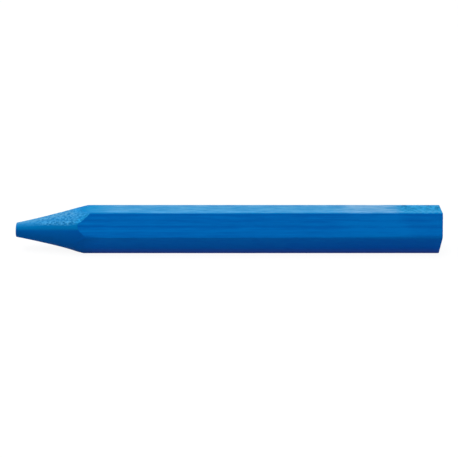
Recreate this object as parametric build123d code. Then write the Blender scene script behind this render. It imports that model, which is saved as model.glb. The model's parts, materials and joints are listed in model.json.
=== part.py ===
from build123d import *
import os
from math import cos, hypot, radians, sin, tan

# A hexagonal wax marking crayon: a bar extruded through a die, chopped to length and sharpened.
# Millimetres, +Z up. The bar lies along X on one of its flats, with its point towards -X.
# The origin is under the middle of the bar, in the flat that it rests on.

# The extruded bar
LENGTH = 110.0  # along the bar's axis, from cut to cut
ACROSS_FLATS = 11.1
SIDES = 6
EDGE_RADIUS = 0.3  # the long edges, as the die leaves them

# The two end cuts: one blade chops both ends, so they lean alike, longer at the top of the butt
CUT_LEAN_DEGREES = 2.3
BUTT_EDGE_RADIUS = 0.15  # the butt's rim, softened by handling
BUTT_ROUND_LIMIT_SHARE = 0.8  # the rim's round stays under this share of the long edges' radius

# The point: turned a little off the bar's axis, with flanks slightly hollow
TIP_DIAMETER = 3.75  # the part of the end cut that is left as a blunt tip
TIP_EDGE_RADIUS = 0.15
POINT_HALF_ANGLE_DEGREES = 14.2
POINT_HOLLOW = 0.26  # how far the flank dips below a straight cone, half way along
POINT_OFFSET_Y = 0.26
POINT_OFFSET_Z = -0.3

OVERRUN = 1.0  # how far blanks and cutters reach past what they make

axis_height = ACROSS_FLATS / 2
half_length = LENGTH / 2
corner_radius = axis_height / cos(radians(180 / SIDES))


def extruded_bar():
    """The bar as it leaves the die, a little longer than the crayon at both ends."""
    hexagon = RegularPolygon(radius=axis_height, side_count=SIDES, major_radius=False)
    section = fillet(hexagon.vertices(), EDGE_RADIUS)
    spare = corner_radius * tan(radians(CUT_LEAN_DEGREES)) + OVERRUN
    return extrude(Plane.YZ * Pos(0, axis_height) * section, amount=half_length + spare, both=True)


def blade(place_x):
    """The plane of an end cut that crosses the bar's axis at place_x, facing +X."""
    lean = radians(CUT_LEAN_DEGREES)
    facing = (cos(lean), 0, -sin(lean))
    return Plane(origin=(place_x, 0, axis_height), x_dir=(0, 1, 0), z_dir=facing)


def sharpened_space():
    """All that the sharpener leaves standing: the hollow-flanked point and the bar behind it."""
    tip_radius = TIP_DIAMETER / 2
    shoulder_radius = corner_radius + hypot(POINT_OFFSET_Y, POINT_OFFSET_Z)
    slope = tan(radians(POINT_HALF_ANGLE_DEGREES))
    point_length = (shoulder_radius - tip_radius) / slope

    def flank(distance):
        """The flank's point at a distance from the tip: a cone less a dip that is deepest half way."""
        along_share = distance / point_length
        dip = POINT_HOLLOW * 4 * along_share * (1 - along_share)
        return (distance, tip_radius + distance * slope - dip)

    nose = flank(-OVERRUN)
    shoulder = flank(point_length)
    tail = LENGTH + corner_radius
    outline = ThreePointArc(nose, flank(point_length / 2), shoulder)
    outline += Polyline(shoulder, (tail, shoulder_radius), (tail, 0), (-OVERRUN, 0), nose)
    turning_plane = Plane(
        origin=(-half_length, POINT_OFFSET_Y, axis_height + POINT_OFFSET_Z),
        x_dir=(1, 0, 0),
        z_dir=(0, -1, 0),
    )
    turning_axis = Axis(turning_plane.origin, turning_plane.x_dir)
    return revolve(turning_plane * make_face(outline), axis=turning_axis)


def crayon():
    """The finished crayon: bar, two leaning cuts, point, then the rounds at both ends."""
    bar = split(extruded_bar(), bisect_by=blade(half_length), keep=Keep.BOTTOM)
    bar = split(bar, bisect_by=blade(-half_length), keep=Keep.TOP)
    body = bar & sharpened_space()
    tip_rim = body.faces().sort_by(Axis.X)[0].edges()
    body = fillet(tip_rim, TIP_EDGE_RADIUS)
    butt_rim = body.faces().sort_by(Axis.X)[-1].edges()
    return fillet(butt_rim, min(BUTT_EDGE_RADIUS, EDGE_RADIUS * BUTT_ROUND_LIMIT_SHARE))


os.makedirs("parts", exist_ok=True)
export_step(crayon(), "parts/crayon.step")
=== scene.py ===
"""Looks of a hexagonal wax marking crayon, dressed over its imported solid.

The crayon lies on one flat with its point towards -X. Its sizes are in millimetres, as the solid's
are, and the node tree that makes its form turns them into metres at its end.
"""

import json
import logging
import math
from dataclasses import dataclass, field
from enum import Enum

import bpy
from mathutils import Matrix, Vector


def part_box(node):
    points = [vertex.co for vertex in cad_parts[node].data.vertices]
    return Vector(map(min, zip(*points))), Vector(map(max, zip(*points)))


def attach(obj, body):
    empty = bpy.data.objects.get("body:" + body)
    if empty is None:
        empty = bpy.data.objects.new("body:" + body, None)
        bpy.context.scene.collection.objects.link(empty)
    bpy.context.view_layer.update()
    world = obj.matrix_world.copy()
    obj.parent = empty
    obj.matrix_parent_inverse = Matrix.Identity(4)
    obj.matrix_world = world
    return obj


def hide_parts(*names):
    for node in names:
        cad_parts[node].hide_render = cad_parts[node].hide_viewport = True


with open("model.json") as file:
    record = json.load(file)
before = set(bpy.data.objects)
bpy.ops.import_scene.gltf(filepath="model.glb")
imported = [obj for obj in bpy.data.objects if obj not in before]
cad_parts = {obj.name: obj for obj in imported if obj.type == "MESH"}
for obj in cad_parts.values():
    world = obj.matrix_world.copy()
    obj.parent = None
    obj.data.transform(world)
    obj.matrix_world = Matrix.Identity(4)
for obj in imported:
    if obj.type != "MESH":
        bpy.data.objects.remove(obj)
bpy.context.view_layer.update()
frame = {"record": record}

log = logging.getLogger("crayon")

Colour = tuple[float, float, float, float]
Socket = bpy.types.NodeSocket

MM = 0.001
FULL_TURN = 2.0 * math.pi
QUARTER_TURN = math.pi / 2
WHITE: Colour = (1.0, 1.0, 1.0, 1.0)

# the middle of a share, which runs from 0 to 1
MIDDLE = 0.5
# a share times (1 - share) is a parabola, and this many times that peaks at 1
PARABOLA = 4.0
# up to this share the mark of torn wax means smooth shearing, and above it tearing
SHEARED_SHARE = 0.4
# where a Mix node keeps its colour sockets, whose names its other kinds share
MIX_SHARE = 0
MIX_FIRST = 6
MIX_SECOND = 7
MIX_RESULT = 2


class Span(Enum):
    """The stretches of the surface, in order from the tip's centre to the butt's centre."""

    TIP_FACE = "tip face"
    TIP_ROUND = "tip round"
    FLANK = "flank"
    SHOULDER = "shoulder"
    BAR = "bar"
    BUTT_BAND = "butt band"
    BUTT_ROUND = "butt round"
    BUTT_FACE = "butt face"


class Mark(Enum):
    """What the form keeps on its points for the finish, as shares from 0 to 1."""

    # the point, up to just short of its edge
    POINT = "point"
    # wax that the sharpening cut, chipped or smeared
    SHARPENED = "sharpened"
    # how roughly it was cut, set by how far the point faces up, so its pale torn upper side and darker
    # smooth lower side are partly painted light and painted shade
    TORN = "torn"
    # pale flakes, over darker cracks at 0
    FLAKE = "flake"
    # the top flat
    UPPER = "upper_flat"
    # the pitted band near the butt
    BUTT_BAND = "butt_band"
    # the chopped faces of both ends
    CUT_FACE = "cut_face"
    # the ridge along the top of the point, painted with a sheen
    CREST = "crest"
    # the last part of the point's flank before its edge
    HEEL = "heel"
    # the chipped edge of the point
    RIM = "rim"


class Lay(Enum):
    """The way that a grain is drawn out."""

    ALONG = "along the bar"
    UPRIGHT = "up and down"


class Vision(Enum):
    """The kinds of ray that see the white background, by the Light Path output that tells them."""

    CAMERA = "Is Camera Ray"
    GLOSSY = "Is Glossy Ray"
    TRANSMISSION = "Is Transmission Ray"


@dataclass(frozen=True)
class Field:
    """A number on the wires of a node tree: arithmetic on it adds Math nodes to the tree."""

    tree: bpy.types.NodeTree
    socket: Socket

    def apply(self, operation: str, *others: "Field | float") -> "Field":
        """Adds a Math node.

        Args:
            operation: the Math node's operation.
            others: its other operands, fields or plain numbers.

        Returns:
            The node's result.
        """
        node = self.tree.nodes.new("ShaderNodeMath")
        node.operation = operation
        for place, operand in zip(node.inputs, (self, *others)):
            wire(self.tree, operand, place)
        return Field(self.tree, node.outputs[0])

    def __add__(self, other: "Field | float") -> "Field":
        """This plus other."""
        return self.apply("ADD", other)

    def __sub__(self, other: "Field | float") -> "Field":
        """This less other."""
        return self.apply("SUBTRACT", other)

    def __rsub__(self, other: float) -> "Field":
        """A plain number less this."""
        return -self + other

    def __mul__(self, other: "Field | float") -> "Field":
        """This times other."""
        return self.apply("MULTIPLY", other)

    def __truediv__(self, other: "Field | float") -> "Field":
        """This over other."""
        return self.apply("DIVIDE", other)

    def __rtruediv__(self, other: float) -> "Field":
        """A plain number over this."""
        return self.apply("POWER", -1.0) * other

    def __mod__(self, other: "Field | float") -> "Field":
        """The remainder of this over other."""
        return self.apply("FLOORED_MODULO", other)

    def __neg__(self) -> "Field":
        """This with its sign turned."""
        return self * -1.0

    def __abs__(self) -> "Field":
        """This without its sign."""
        return self.apply("ABSOLUTE")

    __radd__ = __add__
    __rmul__ = __mul__

    def floor(self) -> "Field":
        """The whole number below this."""
        return self.apply("FLOOR")

    def root(self) -> "Field":
        """The square root of this."""
        return self.apply("SQRT")

    def sin(self) -> "Field":
        """The sine of this angle in radians."""
        return self.apply("SINE")

    def cos(self) -> "Field":
        """The cosine of this angle in radians."""
        return self.apply("COSINE")

    def tan(self) -> "Field":
        """The tangent of this angle in radians."""
        return self.apply("TANGENT")

    def above(self, other: "Field | float") -> "Field":
        """1 where this is more than other, else 0."""
        return self.apply("GREATER_THAN", other)

    def least(self, other: "Field | float", soft: float) -> "Field":
        """The lesser of this and other, rounded over a distance of soft where they cross."""
        return self.apply("SMOOTH_MIN", other, soft)

    def ramp(self, start: "Field | float", end: "Field | float") -> "Field":
        """Maps this to 0 at start and 1 at end.

        Args:
            start: the value that gives 0.
            end: the value that gives 1, and may be the lower of the two.

        Returns:
            The share, clamped to between 0 and 1.
        """
        node = self.tree.nodes.new("ShaderNodeMapRange")
        node.clamp = True
        for name, operand in (("Value", self), ("From Min", start), ("From Max", end)):
            wire(self.tree, operand, node.inputs[name])
        return Field(self.tree, node.outputs[0])

    def peak(self, middle: float, half: float) -> "Field":
        """1 where this is at the middle, falling to 0 at half to either side of it."""
        return self.ramp(middle - half, middle) * self.ramp(middle + half, middle)


Spot = tuple[Field | float, Field | float, Field | float]


def wire(tree: bpy.types.NodeTree, source: object, target: Socket) -> None:
    """Leads a value into an input socket.

    Args:
        tree: the tree that holds the socket.
        source: a field, an output socket, or a constant for the socket itself.
        target: the input socket.
    """
    if isinstance(source, Field):
        tree.links.new(source.socket, target)
    elif isinstance(source, Socket):
        tree.links.new(source, target)
    else:
        target.default_value = source


class Sketch:
    """A node tree being drawn: shorthand for the nodes that this part needs."""

    def __init__(self, tree: bpy.types.NodeTree) -> None:
        """Starts on a tree, which may be a form's or a finish's."""
        self.tree = tree

    def add(
        self, kind: str, settings: dict[str, object] | None = None, **inputs: object
    ) -> bpy.types.Node:
        """Adds a node.

        Args:
            kind: the node's type.
            settings: properties of the node.
            inputs: what goes into its sockets, by their names with _ for spaces.

        Returns:
            The node.
        """
        node = self.tree.nodes.new(kind)
        for name, value in (settings or {}).items():
            setattr(node, name, value)
        for name, source in inputs.items():
            wire(self.tree, source, node.inputs[name.replace("_", " ")])
        return node

    def value(self, node: bpy.types.Node, output: str | int = 0) -> Field:
        """A node's output as a field."""
        return Field(self.tree, node.outputs[output])

    def split(self, vector: Socket) -> tuple[Field, Field, Field]:
        """The three parts of a vector."""
        node = self.add("ShaderNodeSeparateXYZ", Vector=vector)
        return tuple(Field(self.tree, part) for part in node.outputs)

    def millimetres(self, place: Socket) -> tuple[Field, Field, Field]:
        """The three parts of a place in metres, in millimetres."""
        return tuple(part / MM for part in self.split(place))

    def vector(self, x: Field | float, y: Field | float, z: Field | float) -> Socket:
        """A vector of three parts."""
        return self.add("ShaderNodeCombineXYZ", X=x, Y=y, Z=z).outputs[0]

    def blend(self, share: Field, first: Colour | Socket, second: Colour | Socket) -> Socket:
        """Goes from one colour to another.

        Args:
            share: how far it has gone, from 0 to 1.
            first: the colour at 0.
            second: the colour at 1.

        Returns:
            The colour between them.
        """
        node = self.add("ShaderNodeMix", {"data_type": "RGBA"})
        for source, place in ((share, MIX_SHARE), (first, MIX_FIRST), (second, MIX_SECOND)):
            wire(self.tree, source, node.inputs[place])
        return node.outputs[MIX_RESULT]


class FormSketch(Sketch):
    """A Geometry Nodes tree being drawn, with its named sizes."""

    def __init__(self, name: str) -> None:
        """Starts an empty form with one geometry output.

        Args:
            name: the tree's name.
        """
        super().__init__(bpy.data.node_groups.new(name, "GeometryNodeTree"))
        self.tree.interface.new_socket(name="Geometry", in_out="OUTPUT", socket_type="NodeSocketGeometry")
        self.inputs = self.add("NodeGroupInput")
        self.settings: dict[str, float] = {}

    def size(self, name: str, value: float) -> Field:
        """Adds a named input to the form.

        Args:
            name: its name in the modifier.
            value: what this part sets it to.

        Returns:
            The input as a field.
        """
        socket = self.tree.interface.new_socket(name=name, in_out="INPUT", socket_type="NodeSocketFloat")
        self.settings[socket.identifier] = value
        return Field(self.tree, self.inputs.outputs[name])

    def position(self) -> Socket:
        """Each point's place at that stage of the form."""
        return self.add("GeometryNodeInputPosition").outputs[0]

    def keep(self, geometry: Socket, mark: Mark, value: Field) -> Socket:
        """Stores a number on each point.

        Args:
            geometry: the surface.
            mark: what the number is kept as.
            value: the number.

        Returns:
            The surface with its mark.
        """
        kind = "GeometryNodeStoreNamedAttribute"
        settings = {"data_type": "FLOAT", "domain": "POINT"}
        return self.add(kind, settings, Geometry=geometry, Name=mark.value, Value=value).outputs[0]

    def recall(self, mark: Mark) -> Field:
        """A number that was kept on each point."""
        node = self.add("GeometryNodeInputNamedAttribute", {"data_type": "FLOAT"}, Name=mark.value)
        return self.value(node, "Attribute")

    def finish(self, geometry: Socket, material: bpy.types.Material) -> None:
        """Ends the form in plain mesh with its material.

        Args:
            geometry: the surface.
            material: what it is dressed in.
        """
        plain = self.add("GeometryNodeRealizeInstances", Geometry=geometry)
        dressed = self.add("GeometryNodeSetMaterial", Geometry=plain.outputs[0], Material=material)
        self.add("NodeGroupOutput", Geometry=dressed.outputs[0])

    def make(self, name: str) -> bpy.types.Object:
        """Evaluates the form once.

        Args:
            name: the name of the new object and its mesh.

        Returns:
            An object at the origin with the form as a plain mesh.
        """
        piece = bpy.data.objects.new(name, bpy.data.meshes.new(name))
        bpy.context.scene.collection.objects.link(piece)
        modifier = piece.modifiers.new(self.tree.name, "NODES")
        modifier.node_group = self.tree
        for identifier, value in self.settings.items():
            modifier[identifier] = value
        depsgraph = bpy.context.evaluated_depsgraph_get()
        result = bpy.data.meshes.new_from_object(
            piece.evaluated_get(depsgraph), preserve_all_data_layers=True, depsgraph=depsgraph
        )
        piece.modifiers.clear()
        piece.data = result
        result.name = name
        return piece


@dataclass(frozen=True)
class Stretch:
    """A range of a length, a share or the like, over which something sets in."""

    start: float
    end: float

    def share(self, value: Field) -> Field:
        """0 at the start and 1 at the end, which may be the lower of the two."""
        return value.ramp(self.start, self.end)


@dataclass(frozen=True)
class Level:
    """A strength that follows a share: what it is at a share of 0, and what a share of 1 adds."""

    base: float
    gain: float

    def at(self, share: Field) -> Field:
        """The strength at a share."""
        return share * self.gain + self.base


@dataclass(frozen=True)
class Grain:
    """A random pattern in the wax. Its breadth, and its length along its lay, are in millimetres.

    The shift picks one of many like patterns, detail counts its finer layers and rough is their strength.
    """

    breadth: float
    length: float
    shift: float
    detail: float = 2.0
    rough: float = 0.5
    limits: Stretch = Stretch(0.3, 0.7)
    lay: Lay = Lay.ALONG

    def read(self, sketch: Sketch, spot: Spot, seed: Field | float) -> Field:
        """Draws the pattern.

        Args:
            sketch: the tree that it is drawn in.
            spot: the place it is read at, in millimetres.
            seed: the number that the shift is added to.

        Returns:
            The pattern's share at that place, from 0 to 1.
        """
        x, y, z = spot
        shrink = self.breadth / self.length
        if self.lay is Lay.ALONG:
            x = x * shrink
        else:
            z = z * shrink
        node = sketch.add(
            "ShaderNodeTexNoise",
            {"noise_dimensions": "4D"},
            Vector=sketch.vector(x, y, z),
            W=seed + self.shift,
            Scale=1.0 / self.breadth,
            Detail=self.detail,
            Roughness=self.rough,
        )
        return self.limits.share(sketch.value(node))


@dataclass(frozen=True)
class Score:
    """A line that the die draws along the side flats, darker or paler than the wax beside it.

    Its height above the foot and half its width are in millimetres.
    """

    height: float
    half_width: float
    tone: float

    def line(self, height: Field) -> Field:
        """The line's tone at a height: full in its middle, none past its sides."""
        return height.peak(self.height, self.half_width) * self.tone


DIE_SCORES = (
    # the first score's dark tone, just under the top flat's front edge, is painted shade; the others are
    # the die's lines
    Score(10.7, 0.45, -0.40),
    Score(9.42, 0.35, -0.30),
    Score(8.74, 0.45, 0.22),
    Score(8.0, 0.38, -0.50),
    Score(7.15, 0.38, 0.36),
)


@dataclass(frozen=True)
class LimitShift:
    """A place along the top flat where the front limit of its painted light and its gloss moves.
    Millimetres.
    """

    place: float
    half_length: float
    shift: float

    def reach(self, along: Field) -> Field:
        """How far the limit moves towards the front at a place along the bar."""
        return along.peak(self.place, self.half_length) * self.shift


FRONT_LIMIT_SHIFTS = (
    LimitShift(-33.0, 6.0, -0.45),
    LimitShift(-24.0, 7.0, -0.30),
    LimitShift(-14.0, 6.0, 0.35),
    LimitShift(14.0, 18.0, -0.35),
)


def blank_material(name: str) -> tuple[bpy.types.Material, Sketch]:
    """Starts a material with an empty node tree.

    Args:
        name: the material's name.

    Returns:
        The material, and a sketch on its tree.
    """
    material = bpy.data.materials.new(name)
    material.use_nodes = True
    material.node_tree.nodes.clear()
    return material, Sketch(material.node_tree)


@dataclass(frozen=True)
class WaxSpot:
    """What the wax's finish reads at a spot on the surface, and the sketch that it is drawn in.

    The place is in millimetres: along the bar and back, both from its middle, and up from its foot.
    The rest are shares: the form's marks, two patterns, the polished stretch, and the top flat's share of
    painted light and gloss.
    """

    sketch: Sketch
    place: tuple[Field, Field, Field]
    mark: dict[Mark, Field]
    mottle: Field
    crumb: Field
    polished: Field
    upper: Field


@dataclass(frozen=True)
class WaxFinish:
    """Blue pigmented wax: drawn in streaks by the die, torn on the point and rubbed glossy on top, with
    painted light on the top flat and the point's upper side and painted shade on the lower flats and the
    point's lower side.

    Its stretches are in millimetres: along the bar and back, both from its middle, or up from its foot.
    """

    name: str = "blue wax"
    seed: float = 3.0

    # patterns
    streak: Grain = Grain(0.9, 60.0, 0.0, detail=3.0, rough=0.6)
    fleck: Grain = Grain(0.4, 7.0, 4.0, rough=0.6)
    mottle: Grain = Grain(0.6, 3.5, 1.0, detail=3.0, rough=0.6)
    grain: Grain = Grain(0.35, 0.35, 2.0, detail=3.0, rough=0.6)
    crumb: Grain = Grain(0.9, 0.9, 3.0, limits=Stretch(0.44, 0.58))
    drag: Grain = Grain(0.35, 4.0, 5.0, detail=3.0, rough=0.6, lay=Lay.UPRIGHT)
    wander: Grain = Grain(12.0, 12.0, 6.0)

    # the side flats, with painted shade on their lower half and the underside, darker towards the foot and
    # along the bar, and a painted floor reflection at the foot
    deep: Colour = (0.0005, 0.098, 0.385, 1.0)
    light: Colour = (0.0005, 0.138, 0.465, 1.0)
    # painted shade: the lower flat and the underside are darker copies of the wax
    lower: Colour = (0.0005, 0.130, 0.484, 1.0)
    shaded_lower_far: Colour = (0.0005, 0.098, 0.440, 1.0)
    under: Colour = (0.0005, 0.106, 0.505, 1.0)
    shaded_under_far: Colour = (0.0005, 0.086, 0.500, 1.0)
    # painted shade and a painted floor reflection at the foot
    foot: Colour = (0.0320, 0.096, 0.470, 1.0)
    base_tone: float = -0.095
    streak_tone: float = 0.35
    fleck_tone: float = 0.85
    scores: tuple[Score, ...] = DIE_SCORES
    # a painted sheen: the side flats are painted paler along the polished stretch, above the bar's middle
    painted_polish_sheen: float = 0.4
    painted_polish_sheen_height: Stretch = Stretch(4.5, 6.5)
    lower_shade_along_bar: Stretch = Stretch(0.0, 40.0)
    lower_shade_level: Level = Level(0.25, 0.6)
    lower_mottle: float = 1.1
    lower_edge: Stretch = Stretch(5.6, 5.1)
    lower_share: float = 0.85
    underside: Stretch = Stretch(5.0, 0.0)
    foot_shade_reach: Stretch = Stretch(2.0, 0.0)

    # the top flat, painted paler and more cyan as lit from above, with a painted highlight strip along its
    # front, and the matt specked band near the butt, also painted paler
    # the top flat's hue as lit from above: painted light
    lit_top_hue: Colour = (0.0005, 0.159, 0.404, 1.0)
    painted_top_light: Colour = (0.003, 0.230, 0.475, 1.0)
    # a painted highlight along the top flat's front strip
    front: Colour = (0.003, 0.246, 0.545, 1.0)
    # the butt band's top flat, painted paler as lit from above
    matt: Colour = (0.005, 0.276, 0.558, 1.0)
    matt_front_highlight: Colour = (0.022, 0.292, 0.600, 1.0)
    speck: Colour = (0.0003, 0.160, 0.360, 1.0)
    front_highlight_strip: Stretch = Stretch(-0.5, -1.9)
    painted_top_light_cover: Level = Level(0.36, 0.8)
    speck_depth: Stretch = Stretch(-2.6, 0.5)
    speck_cover: Level = Level(0.35, 0.65)

    # the front limit of the top flat's painted light and gloss, which wanders, bows and crumbles
    top_limit: Stretch = Stretch(-3.4, -2.4)
    limit_wander: float = 0.3
    limit_bow: float = 0.32
    bow_reach: float = 55.0
    polish_reach: float = 0.15
    limit_crumble: float = 0.5
    limit_shifts: tuple[LimitShift, ...] = FRONT_LIMIT_SHIFTS

    # the point, with its smooth cut, the sheared band and the torn upper side, and the chopped ends. On
    # the point these follow how far it faces up: the darker cut and heel are painted shade, the sheared
    # band a painted middle tone, the paler torn side and its chips partly painted light over real flakes
    # and cracks, and the crest a painted sheen
    cut: Colour = (0.0005, 0.092, 0.356, 1.0)
    heel: Colour = (0.0005, 0.084, 0.352, 1.0)
    sheared: Colour = (0.0005, 0.146, 0.405, 1.0)
    crack: Colour = (0.004, 0.150, 0.390, 1.0)
    flake: Colour = (0.052, 0.318, 0.640, 1.0)
    crest: Colour = (0.100, 0.335, 0.555, 1.0)
    chip: Colour = (0.022, 0.350, 0.760, 1.0)
    chopped: Colour = (0.002, 0.190, 0.520, 1.0)
    heel_height: Stretch = Stretch(1.0, 3.5)

    # shine
    rub: float = 0.35
    rubbed: Stretch = Stretch(-36.0, -29.5)
    rub_slant: float = 0.4
    polish: float = 0.47
    polish_start: Stretch = Stretch(27.0, 33.0)
    polish_end: Stretch = Stretch(45.0, 41.0)
    matt_slant: float = 0.6
    matt_shine: float = 0.12
    shine_mottle: Level = Level(0.3, 1.4)
    rear_rim: Stretch = Stretch(1.4, 2.6)
    rear_rim_shine: Level = Level(1.0, 0.6)
    body_roughness: float = 0.42
    torn_roughness: float = 0.55
    coat_roughness: float = 0.3
    specular_level: float = 0.015
    specular_tint: Colour = (0.0, 1.0, 1.0, 1.0)
    bump_height: float = 0.012

    def material(self) -> bpy.types.Material:
        """Draws the wax's node tree.

        Returns:
            The material.
        """
        material, sketch = blank_material(self.name)
        spot = self.read(sketch)
        drag = self.drag.read(sketch, spot.place, self.seed)
        grain = self.grain.read(sketch, spot.place, self.seed)
        colour = self.top_colour(spot, self.side_colour(spot))
        colour = sketch.blend(spot.mark[Mark.SHARPENED], colour, self.point_colour(spot))
        chopped = sketch.blend(drag, self.deep, self.chopped)
        colour = sketch.blend(spot.mark[Mark.CUT_FACE], colour, chopped)
        rough = spot.mark[Mark.SHARPENED] + spot.mark[Mark.CUT_FACE]
        bump = sketch.add("ShaderNodeBump", Strength=1.0, Distance=self.bump_height * MM, Height=grain)
        shader = sketch.add(
            "ShaderNodeBsdfPrincipled",
            Base_Color=colour,
            Roughness=rough * (self.torn_roughness - self.body_roughness) + self.body_roughness,
            Normal=bump.outputs[0],
            Specular_IOR_Level=self.specular_level,
            Specular_Tint=self.specular_tint,
            Coat_Weight=self.shine(spot),
            Coat_Roughness=self.coat_roughness,
        )
        sketch.add("ShaderNodeOutputMaterial", Surface=shader.outputs[0])
        return material

    def read(self, sketch: Sketch) -> WaxSpot:
        """Reads what more than one part of the finish turns on.

        Args:
            sketch: the tree that it is drawn in.

        Returns:
            The place, the marks, the shared patterns, the polish, and the top flat's share of painted
            light and gloss.
        """
        place = sketch.millimetres(sketch.add("ShaderNodeTexCoord").outputs["Object"])
        x, y, _ = place
        mark = {
            item: sketch.value(sketch.add("ShaderNodeAttribute", {"attribute_name": item.value}), "Fac")
            for item in Mark
        }
        crumb = self.crumb.read(sketch, place, self.seed)
        wander = self.wander.read(sketch, (x, 0.0, 0.0), self.seed)
        polished = self.polish_start.share(x) * self.polish_end.share(x + y * self.matt_slant)
        limit = y + (wander - MIDDLE) * self.limit_wander + polished * self.polish_reach
        limit = limit - x * x * (self.limit_bow / self.bow_reach**2)
        limit = limit + (crumb - MIDDLE) * mark[Mark.BUTT_BAND] * self.limit_crumble
        limit = limit + sum(limit_shift.reach(x) for limit_shift in self.limit_shifts)
        return WaxSpot(
            sketch=sketch,
            place=place,
            mark=mark,
            mottle=self.mottle.read(sketch, place, self.seed),
            crumb=crumb,
            polished=polished,
            # upper is the top flat's share of painted light from above and of gloss
            upper=mark[Mark.UPPER] * self.top_limit.share(limit),
        )

    def side_colour(self, spot: WaxSpot) -> Socket:
        """Colours the side flats and the underside, with painted shade below and a painted floor
        reflection at the foot.

        Args:
            spot: what is read at the spot.

        Returns:
            The colour.
        """
        x, _, z = spot.place
        blend = spot.sketch.blend
        streak = self.streak.read(spot.sketch, spot.place, self.seed)
        fleck = self.fleck.read(spot.sketch, spot.place, self.seed)
        tone = streak * self.streak_tone + fleck * self.fleck_tone + self.base_tone
        tone = tone + sum(score.line(z) for score in self.scores)
        # painted sheen along the polished stretch
        tone = tone + spot.polished * self.painted_polish_sheen_height.share(z) * self.painted_polish_sheen
        colour = blend(tone, self.deep, self.light)
        # painted shade on the lower flat and the underside, darker along the bar and towards the foot,
        # with a random mottle; at the foot a painted reflection of the floor
        far = self.lower_shade_along_bar.share(x)
        dimness = self.lower_shade_level.at(far) + (spot.mottle - MIDDLE) * self.lower_mottle
        lower = blend(dimness, self.lower, self.shaded_lower_far)
        under = blend(far, self.under, self.shaded_under_far)
        shaded = blend(self.underside.share(z), lower, under)
        colour = blend(self.lower_edge.share(z) * self.lower_share, colour, shaded)
        return blend(self.foot_shade_reach.share(z), colour, self.foot)

    def top_colour(self, spot: WaxSpot, sides: Socket) -> Socket:
        """Colours the top flat: paler and more cyan as painted light from above, with a painted highlight
        strip along its front and real dark specks near the butt.

        Args:
            spot: what is read at the spot.
            sides: the colour of the flats beside it.

        Returns:
            The colour of all the flats.
        """
        _, y, _ = spot.place
        blend = spot.sketch.blend
        band = spot.mark[Mark.BUTT_BAND]
        front_highlight = self.front_highlight_strip.share(y)
        painted_top_light = blend(front_highlight, self.painted_top_light, self.front)
        matt = blend(front_highlight, self.matt, self.matt_front_highlight)
        colour = blend(spot.mark[Mark.UPPER], sides, self.lit_top_hue)
        colour = blend(spot.upper * self.painted_top_light_cover.at(spot.mottle), colour, blend(band, painted_top_light, matt))
        return blend(spot.upper * band * self.specks(spot), colour, self.speck)

    def specks(self, spot: WaxSpot) -> Field:
        """How far a spot near the butt is specked, less towards the front."""
        _, y, _ = spot.place
        return spot.crumb * self.speck_cover.at(self.speck_depth.share(y))

    def point_colour(self, spot: WaxSpot) -> Socket:
        """Colours the sharpened point by how far it faces up: painted shade on the smooth cut and heel, a
        painted middle tone on the sheared band, paler torn wax above that is partly painted light, and a
        painted sheen on the crest.

        Args:
            spot: what is read at the spot.

        Returns:
            The colour.
        """
        _, _, z = spot.place
        mark = spot.mark
        blend = spot.sketch.blend
        smooth = blend(mark[Mark.HEEL] * self.heel_height.share(z), self.cut, self.heel)
        smooth = blend(mark[Mark.TORN].ramp(0.0, SHEARED_SHARE), smooth, self.sheared)
        pale = blend(mark[Mark.CREST], self.flake, self.crest)
        pale = blend(mark[Mark.RIM], pale, self.chip)
        ragged = blend(mark[Mark.FLAKE], self.crack, pale)
        return blend(mark[Mark.TORN].ramp(SHEARED_SHARE, 1.0), smooth, ragged)

    def shine(self, spot: WaxSpot) -> Field:
        """Polishes the top flat where hands rubbed it.

        Args:
            spot: what is read at the spot.

        Returns:
            The weight of the wax's glossy coat.
        """
        x, y, _ = spot.place
        band = spot.mark[Mark.BUTT_BAND]
        rubbed = self.rubbed.share(x - y * self.rub_slant)
        shine = (rubbed * self.rub + spot.polished * self.polish) * (1.0 - band) + band * self.matt_shine
        shine = shine * spot.upper * self.shine_mottle.at(spot.mottle)
        return shine * self.rear_rim_shine.at(self.rear_rim.share(y)) * (1.0 - self.specks(spot) * band)


@dataclass(frozen=True)
class FormSizes:
    """The form's named sizes. Lengths are in millimetres, and angles are given by their tangents."""

    length: Field
    apothem: Field
    lean: Field
    edge: Field
    tip_radius: Field
    tip_edge: Field
    slope: Field
    hollow: Field
    offset_y: Field
    offset_z: Field
    butt_edge: Field
    band: Field
    seed: Field


@dataclass(frozen=True)
class Wrap:
    """Where a point of the grid is wrapped to, with the form that it is drawn in and its sizes.

    Its row gives how much of each span it has passed, and its rough place along the bar. Its column
    gives its side, how far it is across that side's flat, the way the flat faces and the way the
    surface faces, which differs from the flat's on a rounded edge. Angles are in radians.
    """

    form: FormSketch
    sizes: FormSizes
    share: dict[Span, Field]
    nominal: Field
    side: Field
    across: Field
    facing: Field
    normal: Field


@dataclass(frozen=True)
class Column:
    """The line of a column along the bar: how far and which way it lies from the point's axis."""

    reach: Field
    way_y: Field
    way_z: Field


@dataclass(frozen=True)
class FlankCurve:
    """The point's hollow flank: its radius at the tip's face, how that rises and how the rise bends."""

    start: Field
    rise: Field
    bend: Field

    def radius(self, along: Field) -> Field:
        """The flank's radius at a distance from the tip's face."""
        return self.start + along * self.rise + along * along * self.bend

    def meeting(self, reach: Field) -> Field:
        """The distance from the tip's face at which the flank has a radius: the root of its quadratic."""
        square = self.rise * self.rise + 4.0 * self.bend * (reach - self.start)
        return (square.root() - self.rise) / (2.0 * self.bend)


@dataclass(frozen=True)
class Surface:
    """A place about the bar's middle, with its distances from the tip's face and the point's axis."""

    x: Field
    y: Field
    z: Field
    along: Field
    radius: Field


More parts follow.
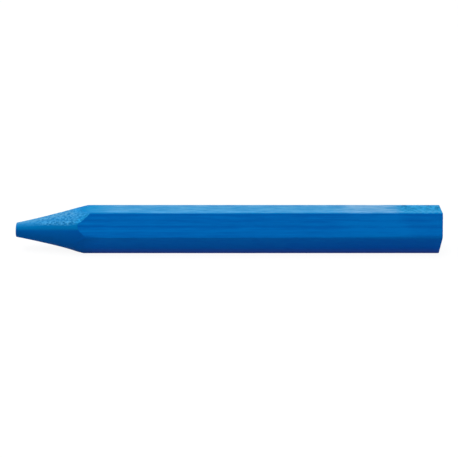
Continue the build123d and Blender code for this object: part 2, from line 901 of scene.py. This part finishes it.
@dataclass
class CrayonBody:
    """The crayon: one bar of wax, extruded, chopped at both ends and sharpened.

    Lengths are in millimetres. A facing is how far a surface looks up, from -1 to 1.
    """

    name: str = "crayon_wax"
    node: str = "crayon"
    slot: str = "wax"
    finish: WaxFinish = WaxFinish()
    seed: float = 11.0

    # the bar and its long edges, with the wear that rounds them
    sides: int = 6
    edge_radius: float = 0.3
    edge_grain: Grain = Grain(7.0, 7.0, 0.0, limits=Stretch(0.5, 0.72))
    edge_grain_gap: float = 70.0
    edge_wander: float = 0.25
    front_edge_wear: float = 0.5
    front_edge_wander: float = 0.8
    point_edge_wear: float = 4.0
    point_edge_wear_length: float = 5.5
    butt_edge_wear: float = 3.0
    butt_edge_wear_length: float = 40.0

    # the point
    tip_diameter: float = 3.75
    tip_edge_radius: float = 0.15
    tip_lean_length: float = 3.0
    point_half_angle: float = math.radians(14.2)
    point_hollow: float = 0.26
    point_offset_y: float = 0.26
    point_offset_z: float = -0.3
    belly_hollow: float = 1.0
    shoulder_softness: float = 0.05
    shoulder_length: float = 5.0
    shoulder_middle: float = 17.5

    # the butt
    butt_edge_radius: float = 0.15
    butt_band_length: float = 10.5
    butt_band_blur: float = 1.0

    # where the point is sheared smooth and where it is torn, by how far it faces up, which the finish
    # paints as a middle tone and as paler, partly painted light
    shear_line: float = 0.36
    shear_blur: float = 0.27
    tear_line: Level = Level(0.38, 0.06)
    tear_line_rise: float = 0.95
    tear_blur: Level = Level(0.05, 0.2)
    tip_blur: Stretch = Stretch(3.4, 2.0)
    least_spread: float = 0.1

    # shares of the flank: its last part, the end of the point's mark and the heel
    neck: Stretch = Stretch(0.85, 1.0)
    point_end: Stretch = Stretch(1.0, 0.93)
    heel: Stretch = Stretch(0.65, 1.0)

    # flakes on the torn wax, calmer at the neck and none on the smooth tip
    flakes: Grain = Grain(0.34, 0.78, 5.0, rough=0.55, limits=Stretch(0.4, 0.6))
    calm_facing: Stretch = Stretch(0.7, 0.92)
    calm: Level = Level(0.25, 0.15)
    flaking_radius: Stretch = Stretch(2.2, 3.8)
    crest_facing: Stretch = Stretch(0.86, 0.99)
    crest_fading: Level = Level(1.0, -0.7)
    tip_flake: Level = Level(0.28, 0.35)
    rim_facing: Stretch = Stretch(0.88, 0.78)
    rim_flake: Level = Level(0.2, 0.8)
    neck_rim: float = 0.6

    # chips and smears that the sharpening left on the flats past the point's edge; the smears carry the
    # point's darker cut colour, painted shade
    chip_facing: Stretch = Stretch(0.55, 0.72)
    chip_length: Level = Level(0.1, 0.8)
    chip_spread: Level = Level(0.8, 0.4)
    chip_taper_facing: Stretch = Stretch(0.74, 0.84)
    chip_taper: Level = Level(1.0, -0.35)
    chip_blur: float = 0.18
    top_facing: Stretch = Stretch(0.8, 0.93)
    top_chip_length: float = 2.5
    smear_facing: Stretch = Stretch(0.45, 0.0)
    smear_length: float = 5.0
    smear_share: float = 0.85

    # shares of the end faces over which the chopped look sets in
    tip_face_edge: Stretch = Stretch(1.0, 0.875)
    butt_face_edge: Stretch = Stretch(0.0, 0.05)

    # relief
    die_line_depth: float = 0.02
    die_lines: Grain = Grain(0.9, 60.0, 0.0)
    scores: tuple[Score, ...] = DIE_SCORES
    score_depth: float = 0.06
    tear_depth: float = 0.12
    chip_depth: float = 0.08
    tool_line_depth: float = 0.012
    tool_line_pitch: float = 0.5
    tool_line_reach: Stretch = Stretch(7.0, 1.0)
    pit_depth: float = 0.05
    pits: Grain = Grain(0.45, 0.45, 2.0, detail=1.0, limits=Stretch(0.52, 0.68))
    chop_depth: float = 0.05
    chops: Grain = Grain(0.5, 6.0, 3.0, detail=3.0, rough=0.6, lay=Lay.UPRIGHT)

    # the grid that is wrapped round the bar, and how near its points merge
    columns_per_side: int = 48
    flat_columns: int = 42
    rows: dict[Span, int] = field(
        default_factory=lambda: {
            Span.TIP_FACE: 8,
            Span.TIP_ROUND: 5,
            Span.FLANK: 150,
            Span.SHOULDER: 32,
            Span.BAR: 56,
            Span.BUTT_BAND: 60,
            Span.BUTT_ROUND: 5,
            Span.BUTT_FACE: 24,
        }
    )
    seam_gap: float = 0.0001

    @property
    def sector(self) -> float:
        """The angle between two neighbouring flats, in radians."""
        return FULL_TURN / self.sides

    def build(self) -> bpy.types.Object:
        """Makes the crayon's mesh, of the solid's form, and sets it in the frame.

        Returns:
            The piece, riding on the part's one body in place of its node.
        """
        form = FormSketch("crayon form")
        geometry = self.texture(form, self.shape(form))
        self.dress(form, geometry)
        piece = form.make(self.name)
        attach(piece, "root")
        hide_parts(self.node)
        return piece

    def dress(self, form: FormSketch, geometry: Socket) -> None:
        """Ends the form in its wax."""
        form.finish(geometry, self.finish.material())

    def shape(self, form: FormSketch) -> Socket:
        """Wraps a grid round the bar, its columns along the bar and its rows round it.

        Args:
            form: the tree that it is drawn in.

        Returns:
            The closed surface in metres, with what each point needs later kept on it.
        """
        geometry, wrap = self.wrap(form, self.sizes(form))
        column = self.column(wrap)
        surface = self.surface(wrap, column)
        for mark, value in self.marks(wrap, column, surface).items():
            geometry = form.keep(geometry, mark, value)
        place = form.vector(surface.x * MM, surface.y * MM, (surface.z + wrap.sizes.apothem) * MM)
        wrapped = form.add("GeometryNodeSetPosition", Geometry=geometry, Position=place)
        closed = form.add(
            "GeometryNodeMergeByDistance", Geometry=wrapped.outputs[0], Distance=self.seam_gap * MM
        )
        return closed.outputs[0]

    def sizes(self, form: FormSketch) -> FormSizes:
        """Names the sizes of the form: the frame gives the large ones and this class the rest.

        Args:
            form: the tree that they belong to.

        Returns:
            The sizes as fields.
        """
        low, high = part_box(self.node)
        butt = next(mount for mount in frame["record"]["mounts"] if mount["name"] == "butt_face")
        lean = math.atan2(-butt["axis"][2], butt["axis"][0])
        return FormSizes(
            length=form.size("Length", 2.0 * butt["pos_m"][0] / MM),
            apothem=form.size("Across flats", (high[2] - low[2]) / MM) / 2.0,
            lean=form.size("Cut lean", lean).tan(),
            edge=form.size("Edge radius", self.edge_radius),
            tip_radius=form.size("Tip diameter", self.tip_diameter) / 2.0,
            tip_edge=form.size("Tip edge radius", self.tip_edge_radius),
            slope=form.size("Point half angle", self.point_half_angle).tan(),
            hollow=form.size("Point hollow", self.point_hollow),
            offset_y=form.size("Point offset Y", self.point_offset_y),
            offset_z=form.size("Point offset Z", self.point_offset_z),
            butt_edge=form.size("Butt edge radius", self.butt_edge_radius),
            band=form.size("Butt band", self.butt_band_length),
            seed=form.size("Seed", self.seed),
        )

    def wrap(self, form: FormSketch, sizes: FormSizes) -> tuple[Socket, Wrap]:
        """Lays out the grid.

        Args:
            form: the tree that it is drawn in.
            sizes: the form's sizes.

        Returns:
            The flat grid, and where each of its points is wrapped to.
        """
        columns = self.sides * self.columns_per_side
        rows = sum(self.rows.values())
        grid = form.add(
            "GeometryNodeMeshGrid",
            Vertices_X=columns + 1,
            Vertices_Y=rows + 1,
            Size_X=float(columns),
            Size_Y=float(rows),
        )
        grid_x, grid_y, _ = form.split(form.position())
        row = grid_y + rows / 2
        share: dict[Span, Field] = {}
        first = 0
        for span, count in self.rows.items():
            share[span] = row.ramp(float(first), float(first + count))
            first += count
        # rows crowd up to the point's edge, to keep it crisp
        share[Span.SHOULDER] = share[Span.SHOULDER] * share[Span.SHOULDER]
        shoulder_end = self.shoulder_middle + self.shoulder_length
        nominal = (
            share[Span.FLANK] * self.shoulder_middle
            + share[Span.SHOULDER] * self.shoulder_length
            + share[Span.BAR] * (sizes.length - sizes.band - shoulder_end)
            + share[Span.BUTT_BAND] * sizes.band
        )

        # each side has columns across its flat, and then columns round its rounded edge
        turn = (grid_x + columns / 2) * (self.sides / columns)
        side = turn.floor()
        step = turn - side
        flat_share = self.flat_columns / self.columns_per_side
        facing = side * self.sector + QUARTER_TURN
        wrap = Wrap(
            form=form,
            sizes=sizes,
            share=share,
            nominal=nominal,
            side=side,
            across=step.ramp(0.0, flat_share),
            facing=facing,
            normal=facing + step.ramp(flat_share, 1.0) * self.sector,
        )
        return grid.outputs["Mesh"], wrap

    def edge(self, wrap: Wrap, corner: Field) -> Field:
        """Rounds a long edge unevenly, as the die and handling leave it.

        Args:
            wrap: where each point is wrapped to.
            corner: the edge's number, counted from the front edge of the top flat.

        Returns:
            The edge's radius.
        """
        sizes = wrap.sizes
        nominal = wrap.nominal
        # each edge reads the grain along a line of its own
        line = (nominal, corner * self.edge_grain_gap, 0.0)
        uneven = self.edge_grain.read(wrap.form, line, sizes.seed)
        front = 1.0 - corner.above(0.0)
        # the bar's two widest edges stand a quarter of the way round to either side of the lowest flat
        from_lowest = abs(corner - (self.sides - 1) / 2)
        widest = 1.0 - abs(from_lowest - self.sides / 4)
        at_point = nominal.ramp(self.shoulder_middle + self.point_edge_wear_length, self.shoulder_middle)
        at_butt = nominal.ramp(sizes.length - self.butt_edge_wear_length, sizes.length)
        rounding = widest * (at_point * at_point * self.point_edge_wear + at_butt * self.butt_edge_wear)
        wander = front * (self.front_edge_wander - self.edge_wander) + self.edge_wander
        return sizes.edge * (uneven * wander + front * self.front_edge_wear + rounding + 1.0)

    def column(self, wrap: Wrap) -> Column:
        """Stands the columns on the rounded hexagon.

        Args:
            wrap: where each point is wrapped to.

        Returns:
            Where each column lies from the point's axis.
        """
        sizes = wrap.sizes
        edge_after = self.edge(wrap, wrap.side % self.sides)
        edge_before = self.edge(wrap, (wrap.side + (self.sides - 1.0)) % self.sides)
        half_tan = math.tan(self.sector / 2)
        start = (edge_before - sizes.apothem) * half_tan
        end = (sizes.apothem - edge_after) * half_tan
        along_flat = start + (end - start) * wrap.across
        cos = wrap.facing.cos()
        sin = wrap.facing.sin()
        inner = sizes.apothem - edge_after
        section_y = inner * cos - along_flat * sin + edge_after * wrap.normal.cos()
        section_z = inner * sin + along_flat * cos + edge_after * wrap.normal.sin()
        reach_y = section_y - sizes.offset_y
        reach_z = section_z - sizes.offset_z
        reach = (reach_y * reach_y + reach_z * reach_z).root()
        return Column(reach=reach, way_y=reach_y / reach, way_z=reach_z / reach)

    def flank_curve(self, sizes: FormSizes) -> FlankCurve:
        """Draws the point's flank, a cone with a parabola's hollow in it.

        Args:
            sizes: the form's sizes.

        Returns:
            The flank.
        """
        corner_radius = sizes.apothem / math.cos(self.sector / 2)
        offset = (sizes.offset_y * sizes.offset_y + sizes.offset_z * sizes.offset_z).root()
        point_length = (corner_radius + offset - sizes.tip_radius) / sizes.slope
        dip = sizes.hollow * PARABOLA / point_length
        return FlankCurve(start=sizes.tip_radius, rise=sizes.slope - dip, bend=dip / point_length)

    def surface(self, wrap: Wrap, column: Column) -> Surface:
        """Lays each column down along the tip, the point, the bar and the butt.

        Args:
            wrap: where each point is wrapped to.
            column: where its column lies.

        Returns:
            Each point's place.
        """
        sizes = wrap.sizes
        share = wrap.share
        flank = share[Span.FLANK]
        curve = self.flank_curve(sizes)

        # the tip's face and its rounded rim, which ends where the flank's rise begins
        rise_angle = curve.rise.apply("ARCTANGENT")
        rise_root = (curve.rise * curve.rise + 1.0).root()
        tip_flat = sizes.tip_radius + sizes.tip_edge * curve.rise - sizes.tip_edge * rise_root
        swing = share[Span.TIP_ROUND] * (QUARTER_TURN - rise_angle)
        tip_along = sizes.tip_edge - sizes.tip_edge * swing.cos()
        tip_reach = tip_flat * share[Span.TIP_FACE] + sizes.tip_edge * swing.sin()
        tip_end = sizes.tip_edge - sizes.tip_edge * rise_angle.sin()

        # the distance from the tip's face
        meeting = curve.meeting(column.reach)
        butt_swing = share[Span.BUTT_ROUND] * QUARTER_TURN
        along = (
            tip_along
            + flank * (meeting - tip_end)
            + share[Span.SHOULDER] * self.shoulder_length
            + share[Span.BAR] * (sizes.length - sizes.band - meeting - self.shoulder_length)
            + share[Span.BUTT_BAND] * (sizes.band - sizes.butt_edge)
            + sizes.butt_edge * butt_swing.sin()
        )

        # the distance from the point's axis, with a hollow under the point's belly
        belly = flank * flank * flank * (1.0 - flank)
        downward = MIDDLE - column.way_z * MIDDLE
        cone = curve.radius(along) - belly * self.belly_hollow * downward
        on_flank = flank.above(0.0)
        radius = on_flank * column.reach.least(cone, self.shoulder_softness) + (1.0 - on_flank) * tip_reach

        # the place, with both ends cut at a lean
        inset = sizes.butt_edge - sizes.butt_edge * butt_swing.cos()
        closing = 1.0 - share[Span.BUTT_FACE]
        y = (sizes.offset_y + column.way_y * radius - inset * wrap.normal.cos()) * closing
        z = (sizes.offset_z + column.way_z * radius - inset * wrap.normal.sin()) * closing
        leaning = along.ramp(self.tip_lean_length, 0.0)
        leaning = leaning + along.ramp(sizes.length - sizes.band, sizes.length)
        x = along - sizes.length / 2.0 + sizes.lean * z * leaning
        return Surface(x, y, z, along, radius)

    def tearing(self, neck: Field, upward: Field, radius: Field) -> tuple[Field, Field]:
        """Parts the upper side of the point, by how far it faces up, into a band that is sheared smooth
        and one that is torn, which the finish paints as a middle tone and as paler, partly painted light.

        Args:
            neck: the share of the flank's last part.
            upward: how far the point faces up.
            radius: the distance from its axis.

        Returns:
            The shares of shearing and of tearing.
        """
        spread = radius.apply("MAXIMUM", self.least_spread)
        shear_blur = self.shear_blur / spread
        sheared = (upward - self.shear_line).ramp(-shear_blur, shear_blur)
        tear_line = self.tear_line.at(neck) + self.tear_line_rise / spread
        tear_blur = self.tear_blur.at(self.tip_blur.share(radius))
        torn = (upward - tear_line).ramp(-tear_blur, tear_blur)
        return sheared, torn

    def chipping(self, wrap: Wrap, upward: Field, chip: Field) -> tuple[Field, Field]:
        """Chips and smears the flats just past the point's edge.

        Args:
            wrap: where each point is wrapped to.
            upward: how far the point faces up.
            chip: the pattern of the flakes.

        Returns:
            The shares of chips, on the upper side, and of smears, on the lower one.
        """
        past_point = wrap.share[Span.SHOULDER] * self.shoulder_length
        on_flank = wrap.share[Span.FLANK].above(0.0)
        facing = wrap.normal.sin()
        reaching = self.chip_length.at(self.chip_facing.share(upward)) * self.chip_spread.at(chip)
        reaching = reaching * self.chip_taper.at(self.chip_taper_facing.share(upward))
        side_chip = past_point.ramp(reaching + self.chip_blur, reaching - self.chip_blur)
        top_chip = past_point.ramp(self.top_chip_length, 0.0)
        chipped = side_chip + (top_chip - side_chip) * self.top_facing.share(facing)
        # the smears face down and carry the point's painted shade onto the flats
        smeared = past_point.ramp(self.smear_length, 0.0) * self.smear_facing.share(facing)
        return chipped * on_flank, smeared * on_flank * self.smear_share

    def marks(self, wrap: Wrap, column: Column, surface: Surface) -> dict[Mark, Field]:
        """Tells the finish and the texture what each point of the surface is.

        Args:
            wrap: where each point is wrapped to.
            column: where its column lies.
            surface: its place.

        Returns:
            The marks.
        """
        share = wrap.share
        flank = share[Span.FLANK]
        upward = column.way_z
        neck = self.neck.share(flank)
        cone = (1.0 - share[Span.SHOULDER].above(0.0)) * share[Span.TIP_ROUND]
        on_point = cone * self.point_end.share(flank)
        sheared, torn = self.tearing(neck, upward, surface.radius)
        chip = self.flakes.read(wrap.form, (surface.x, surface.y, surface.z), wrap.sizes.seed)
        chipped, smeared = self.chipping(wrap, upward, chip)
        chipped = chipped * torn

        crest = self.crest_facing.share(upward)
        rim = (1.0 - on_point) * self.rim_facing.share(upward)
        flake = chip * (1.0 - neck * self.calm.at(self.calm_facing.share(upward)))
        flaking = self.flaking_radius.share(surface.radius)
        flaked = flake * flaking + (1.0 - flaking) * self.tip_flake.at(crest)
        rough = sheared * SHEARED_SHARE + torn * (1.0 - SHEARED_SHARE)
        uppermost = self.top_facing.share(wrap.normal.sin())
        band_start = wrap.sizes.length - wrap.sizes.band
        faces = self.tip_face_edge.share(share[Span.TIP_FACE])
        faces = faces + self.butt_face_edge.share(share[Span.BUTT_FACE])
        return {
            Mark.POINT: on_point,
            Mark.SHARPENED: cone + (1.0 - cone) * (chipped + smeared),
            Mark.TORN: cone * rough + (1.0 - cone) * chipped,
            Mark.FLAKE: flaked * (1.0 - rim) + self.rim_flake.at(chip) * rim,
            Mark.UPPER: uppermost * (1.0 - cone) * flank * (1.0 - share[Span.BUTT_ROUND]),
            Mark.BUTT_BAND: surface.along.ramp(
                band_start - self.butt_band_blur, band_start + self.butt_band_blur
            ),
            Mark.CUT_FACE: faces,
            Mark.CREST: crest * self.crest_fading.at(neck),
            Mark.HEEL: self.heel.share(flank),
            Mark.RIM: rim + (1.0 - rim) * neck * self.neck_rim,
        }

    def texture(self, form: FormSketch, geometry: Socket) -> Socket:
        """Presses the die's lines and the sharpener's tears into the surface.

        Args:
            form: the tree that it is drawn in.
            geometry: the closed surface.

        Returns:
            The textured surface.
        """
        seed = form.size("Texture seed", self.seed + 1.0)
        line_depth = form.size("Die line depth", self.die_line_depth)
        score_depth = form.size("Score depth", self.score_depth)
        tear_depth = form.size("Tear depth", self.tear_depth)
        chip_depth = form.size("Chip depth", self.chip_depth)
        ring_depth = form.size("Tool line depth", self.tool_line_depth)
        pit_depth = form.size("Pit depth", self.pit_depth)
        chop_depth = form.size("Chop depth", self.chop_depth)
        spot = form.millimetres(form.position())
        x, _, z = spot
        from_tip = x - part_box(self.node)[0][0] / MM
        mark = {item: form.recall(item) for item in Mark}
        cut = mark[Mark.CUT_FACE]
        flat = (1.0 - mark[Mark.SHARPENED]) * (1.0 - cut)
        torn = mark[Mark.TORN].ramp(SHEARED_SHARE, 1.0)

        # each goes from 0 at the surface to -1 at its full depth, but a tear rises and dips by half
        line = self.die_lines.read(form, spot, seed) - 1.0
        score = sum(item.line(z) for item in self.scores if item.tone < 0.0)
        tear = mark[Mark.FLAKE] - MIDDLE
        chip = mark[Mark.FLAKE] - 1.0
        ring = ((from_tip * (FULL_TURN / self.tool_line_pitch)).sin() - 1.0) / 2.0
        pit = -self.pits.read(form, spot, seed)
        chop = self.chops.read(form, spot, seed) - 1.0
        height = (
            line * line_depth * flat
            + score * score_depth * flat
            + tear * tear_depth * torn * mark[Mark.POINT]
            + chip * chip_depth * torn * (1.0 - mark[Mark.POINT])
            + ring * ring_depth * mark[Mark.SHARPENED] * self.tool_line_reach.share(from_tip)
            + pit * pit_depth * mark[Mark.BUTT_BAND] * mark[Mark.UPPER] * flat
            + chop * chop_depth * cut
        )
        push = form.add("ShaderNodeVectorMath", {"operation": "SCALE"}, Scale=height * MM)
        wire(form.tree, form.add("GeometryNodeInputNormal").outputs[0], push.inputs[0])
        pressed = form.add("GeometryNodeSetPosition", Geometry=geometry, Offset=push.outputs[0])
        smooth = form.add("GeometryNodeSetShadeSmooth", Geometry=pressed.outputs[0])
        return smooth.outputs[0]


def seen(sketch: Sketch) -> Field:
    """Tells the rays that see the white background from the light that falls on the part.

    Args:
        sketch: the tree that it is drawn in.

    Returns:
        1 for the rays that see it, else 0.
    """
    path = sketch.add("ShaderNodeLightPath")
    total = sum(sketch.value(path, kind.value) for kind in Vision)
    return total.apply("MINIMUM", 1.0)


@dataclass(frozen=True)
class FloorFinish:
    """Plain pale paper.

    It is white to the eye and in reflections, with the shadow kept, and grey in the light that it throws
    back on the part.
    """

    name: str = "pale floor"
    glow: float = 0.92
    shown: Colour = (0.09, 0.09, 0.09, 1.0)
    bounce: Colour = (0.52, 0.52, 0.52, 1.0)

    def material(self) -> bpy.types.Material:
        """Draws the floor's node tree.

        Returns:
            The material.
        """
        material, sketch = blank_material(self.name)
        glow = sketch.add("ShaderNodeEmission", Strength=self.glow)
        shown = sketch.add("ShaderNodeBsdfDiffuse", Color=self.shown)
        bounce = sketch.add("ShaderNodeBsdfDiffuse", Color=self.bounce)
        both = sketch.add("ShaderNodeAddShader")
        choice = sketch.add("ShaderNodeMixShader", Fac=seen(sketch))
        for source, target in (
            (glow, both.inputs[0]),
            (shown, both.inputs[1]),
            (bounce, choice.inputs[1]),
            (both, choice.inputs[2]),
        ):
            wire(sketch.tree, source.outputs[0], target)
        sketch.add("ShaderNodeOutputMaterial", Surface=choice.outputs[0])
        return material


@dataclass(frozen=True)
class Softbox:
    """A rectangular lamp with an even face. Lengths in metres, and the tilt in radians."""

    name: str
    width: float
    depth: float
    radiance: float
    place: tuple[float, float, float]
    tilt: float = 0.0

    def light(self) -> bpy.types.Object:
        """Sets the lamp in the scene.

        Returns:
            The lamp.
        """
        lamp = bpy.data.lights.new(self.name, "AREA")
        lamp.shape = "RECTANGLE"
        lamp.size = self.width
        lamp.size_y = self.depth
        lamp.energy = self.radiance * math.pi * self.width * self.depth
        item = bpy.data.objects.new(self.name, lamp)
        item.location = self.place
        item.rotation_euler = (self.tilt, 0.0, 0.0)
        bpy.context.scene.collection.objects.link(item)
        return item


@dataclass
class Studio:
    """The floor, the soft light and the camera. Lengths in metres, the elevation in degrees.

    The camera's lens and sensor are in millimetres.
    """

    floor_half: float = 3.0
    floor_drop: float = 0.00002
    sky: float = 0.33
    elevation: float = 21.16
    distance: float = 0.3293
    aim: tuple[float, float, float] = (0.00032, 0.0, 0.00554)
    nearest: float = 0.01
    lens: float = 99.46
    sensor: float = 36.0
    floor_finish: FloorFinish = FloorFinish()
    softboxes: tuple[Softbox, ...] = (
        Softbox("overhead softbox", 0.6, 0.98, 3.2, (-0.15, 0.01, 0.6)),
        Softbox("front fill", 1.0, 0.6, 0.35, (0.0, -0.8, 0.5), tilt=math.radians(60.0)),
    )

    def build(self) -> None:
        """Sets out the floor, lamps, sky and camera."""
        self.floor()
        self.background()
        for softbox in self.softboxes:
            log.info("lamp %s", softbox.light().name)
        self.camera()

    def floor(self) -> None:
        """Lays the plain floor under the crayon."""
        half = self.floor_half
        ground = ((-half, -half), (half, -half), (half, half), (-half, half))
        mesh = bpy.data.meshes.new("floor")
        mesh.from_pydata([(x, y, -self.floor_drop) for x, y in ground], [], [(0, 1, 2, 3)])
        mesh.materials.append(self.floor_finish.material())
        item = bpy.data.objects.new("floor", mesh)
        bpy.context.scene.collection.objects.link(item)

    def background(self) -> None:
        """Makes the sky white to the eye and an even soft light on the part."""
        world = bpy.data.worlds.new("studio")
        world.use_nodes = True
        world.node_tree.nodes.clear()
        sketch = Sketch(world.node_tree)
        strength = seen(sketch) * (1.0 - self.sky) + self.sky
        glow = sketch.add("ShaderNodeBackground", Color=WHITE, Strength=strength)
        sketch.add("ShaderNodeOutputWorld", Surface=glow.outputs[0])
        bpy.context.scene.world = world

    def camera(self) -> None:
        """Stands the camera at the photograph's angle and distance."""
        angle = math.radians(self.elevation)
        lens = bpy.data.cameras.new("camera")
        lens.lens = self.lens
        lens.sensor_width = self.sensor
        lens.sensor_fit = "HORIZONTAL"
        lens.clip_start = self.nearest
        item = bpy.data.objects.new("camera", lens)
        aim_x, aim_y, aim_z = self.aim
        back = self.distance * math.cos(angle)
        up = self.distance * math.sin(angle)
        item.location = (aim_x, aim_y - back, aim_z + up)
        item.rotation_euler = (QUARTER_TURN - angle, 0.0, 0.0)
        bpy.context.scene.collection.objects.link(item)
        bpy.context.scene.camera = item


def main() -> None:
    """Builds the crayon and its studio."""
    logging.basicConfig(level=logging.INFO, format="%(name)s: %(message)s")
    piece = CrayonBody().build()
    log.info("piece %s, %d faces", piece.name, len(piece.data.polygons))
    Studio().build()
    bpy.context.scene.view_settings.view_transform = "Standard"


if __name__ == "__main__":
    main()
